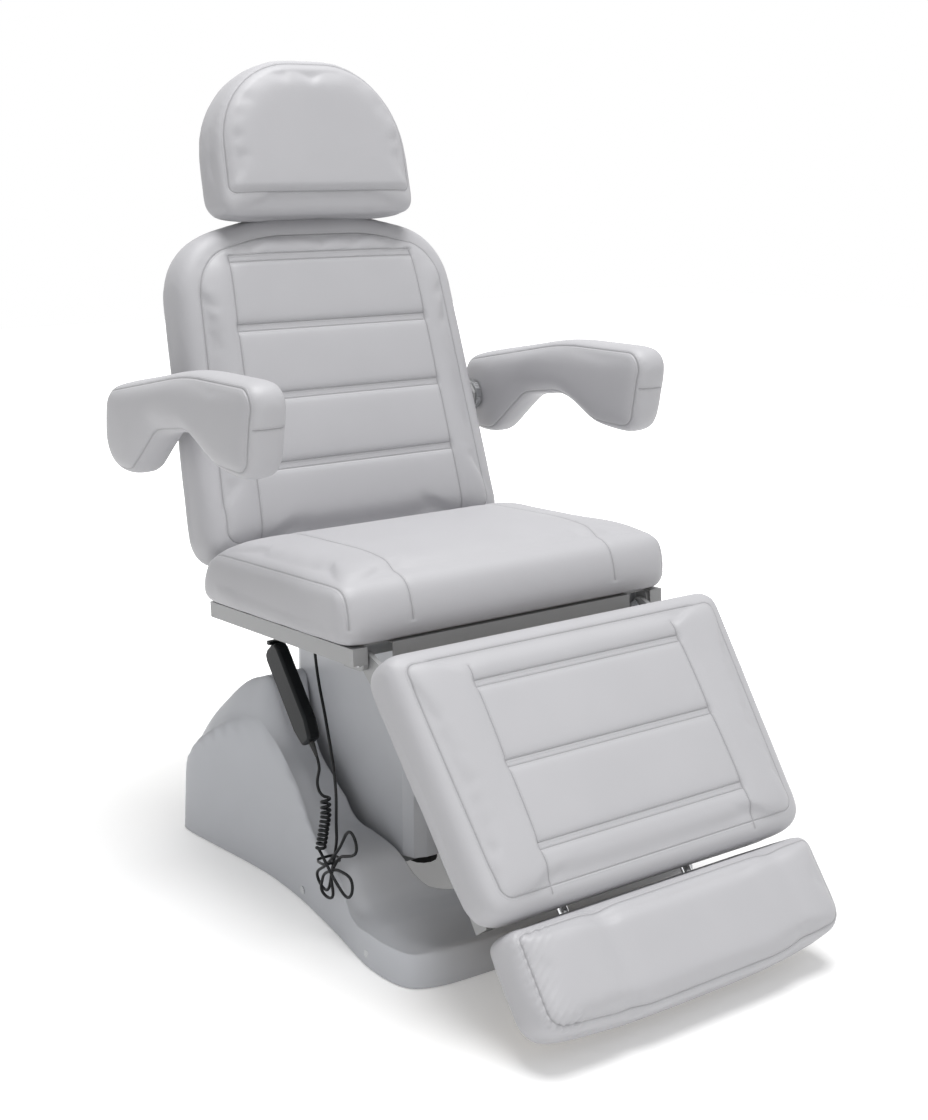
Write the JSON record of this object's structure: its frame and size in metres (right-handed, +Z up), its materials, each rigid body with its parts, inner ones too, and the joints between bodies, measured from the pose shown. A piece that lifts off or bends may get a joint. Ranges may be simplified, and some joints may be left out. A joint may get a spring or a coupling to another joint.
{
  "type": "podiatry chair",
  "caption": "Electric treatment chair with a reclining back, raising leg section, sliding foot pad, headrest and folding armrests on a lifting column.",
  "frame": {"origin": "on the floor, under the middle of the base", "axes": "+X to the sitter's left, +Y to the back of the chair, +Z up"},
  "size_m": [0.818, 1.1877, 1.3485],
  "materials": {
    "white_leatherette": "soft low-gloss upholstery with a fine grain",
    "white_cover": "moulded cover, satin",
    "white_paint": "powder coat, smooth",
    "grey_paint": "powder coat, satin",
    "bare_steel": "zinc plated",
    "chromed_steel": "polished",
    "plywood": "birch plywood, sealed",
    "black_plastic": "fine matt grain",
    "grey_key": "soft touch",
    "black_cord": "cord jacket",
    "black_rubber": "matt",
    "bearing_plastic": "natural acetal",
    "actuator_grey": "moulded housing"
  },
  "bodies": {
    "base": {"base_cover": "white_cover", "cover_screws": "bare_steel", "mains_inlet": "black_plastic", "base_rails": "grey_paint", "base_crossbars": "grey_paint", "levelling_feet": "black_rubber", "column_outer": "grey_paint", "column_bush": "bearing_plastic", "lift_motor": "actuator_grey"},
    "lift": {"column_inner": "bare_steel", "column_head": "grey_paint", "column_cover": "white_cover", "seat_rails": "grey_paint", "seat_crossbars": "grey_paint", "seat_hinge_ears": "white_paint", "hinge_pins": "bare_steel", "seat_tray": "white_paint", "seat_board": "plywood", "seat_cushion": "white_leatherette", "control_box": "black_plastic", "back_actuator": "actuator_grey", "leg_actuator": "actuator_grey", "handset_front": "black_plastic", "handset_rear": "black_plastic", "handset_hook": "black_plastic", "handset_cord": "black_cord", "cord_return": "black_cord", "cord_bundle": "black_cord", "cord_glands": "black_rubber"},
    "back_rod": {"back_rod": "chromed_steel"},
    "leg_rod": {"leg_rod": "chromed_steel"},
    "back": {"back_cushion": "white_leatherette", "back_board": "plywood", "back_rails": "white_paint", "back_crossbars": "white_paint", "head_sockets": "white_paint", "arm_brackets": "white_paint"},
    "arm_right": {"arm_pad_right": "white_leatherette", "arm_hub_right": "bare_steel"},
    "arm_left": {"arm_pad_left": "white_leatherette", "arm_hub_left": "bare_steel"},
    "headrest_carrier": {"head_posts": "chromed_steel", "head_carrier": "white_paint"},
    "headrest": {"head_cushion": "white_leatherette", "head_board": "plywood"},
    "leg": {"leg_cushion": "white_leatherette", "leg_board": "plywood", "leg_rails": "white_paint", "leg_crossbars": "white_paint", "foot_guides": "white_paint"},
    "foot": {"foot_cushion": "white_leatherette", "foot_board": "plywood", "foot_carrier": "white_paint", "foot_rods": "chromed_steel"},
    "key_1": {"key_1": "grey_key"},
    "key_2": {"key_2": "grey_key"},
    "key_3": {"key_3": "grey_key"},
    "key_4": {"key_4": "grey_key"},
    "key_5": {"key_5": "grey_key"},
    "key_6": {"key_6": "grey_key"}
  },
  "joints": [
    {"name": "seat_lift", "type": "slide", "parent": "base", "child": "lift", "axis": [0, 0, 1], "range_m": [0, 0.24]},
    {"name": "back_recline", "type": "hinge", "parent": "lift", "child": "back", "pos_m": [0, 0.235, 0.495], "axis": [-1, 0, 0], "range_deg": [0, 74]},
    {"name": "leg_raise", "type": "hinge", "parent": "lift", "child": "leg", "pos_m": [0, -0.235, 0.465], "axis": [-1, 0, 0], "range_deg": [0, 55]},
    {"name": "foot_slide", "type": "slide", "parent": "leg", "child": "foot", "axis": [0, -0.606, -0.7955], "range_m": [0, 0.12]},
    {"name": "arm_right_swing", "type": "hinge", "parent": "back", "child": "arm_right", "pos_m": [0.366, 0.305, 0.748], "axis": [-1, 0, 0], "range_deg": [-10, 100]},
    {"name": "arm_left_swing", "type": "hinge", "parent": "back", "child": "arm_left", "pos_m": [-0.366, 0.305, 0.748], "axis": [-1, 0, 0], "range_deg": [-10, 100]},
    {"name": "headrest_height", "type": "slide", "parent": "back", "child": "headrest_carrier", "axis": [0, 0.2756, 0.9613], "range_m": [0, 0.08]},
    {"name": "headrest_tilt", "type": "hinge", "parent": "headrest_carrier", "child": "headrest", "pos_m": [0, 0.42023, 1.14097], "axis": [-1, 0, 0], "range_deg": [-8, 25]},
    {"name": "back_rod_stroke", "type": "slide", "parent": "lift", "child": "back_rod", "axis": [0, -1, 0], "range_m": [0, 0.098]},
    {"name": "leg_rod_stroke", "type": "slide", "parent": "lift", "child": "leg_rod", "axis": [0, -1, 0], "range_m": [0, 0.071]},
    {"name": "key_1_press", "type": "slide", "parent": "lift", "child": "key_1", "axis": [-1, 0, 0], "range_m": [0, 0.0012], "stiffness_N_per_m": 900, "springref_m": -0.0006},
    {"name": "key_2_press", "type": "slide", "parent": "lift", "child": "key_2", "axis": [-1, 0, 0], "range_m": [0, 0.0012], "stiffness_N_per_m": 900, "springref_m": -0.0006},
    {"name": "key_3_press", "type": "slide", "parent": "lift", "child": "key_3", "axis": [-1, 0, 0], "range_m": [0, 0.0012], "stiffness_N_per_m": 900, "springref_m": -0.0006},
    {"name": "key_4_press", "type": "slide", "parent": "lift", "child": "key_4", "axis": [-1, 0, 0], "range_m": [0, 0.0012], "stiffness_N_per_m": 900, "springref_m": -0.0006},
    {"name": "key_5_press", "type": "slide", "parent": "lift", "child": "key_5", "axis": [-1, 0, 0], "range_m": [0, 0.0012], "stiffness_N_per_m": 900, "springref_m": -0.0006},
    {"name": "key_6_press", "type": "slide", "parent": "lift", "child": "key_6", "axis": [-1, 0, 0], "range_m": [0, 0.0012], "stiffness_N_per_m": 900, "springref_m": -0.0006}
  ],
  "couplings": [
    {"joint": "back_rod_stroke", "follows": "back_recline", "m_per_rad": 0.074555},
    {"joint": "leg_rod_stroke", "follows": "leg_raise", "m_per_rad": 0.072153}
  ]
}
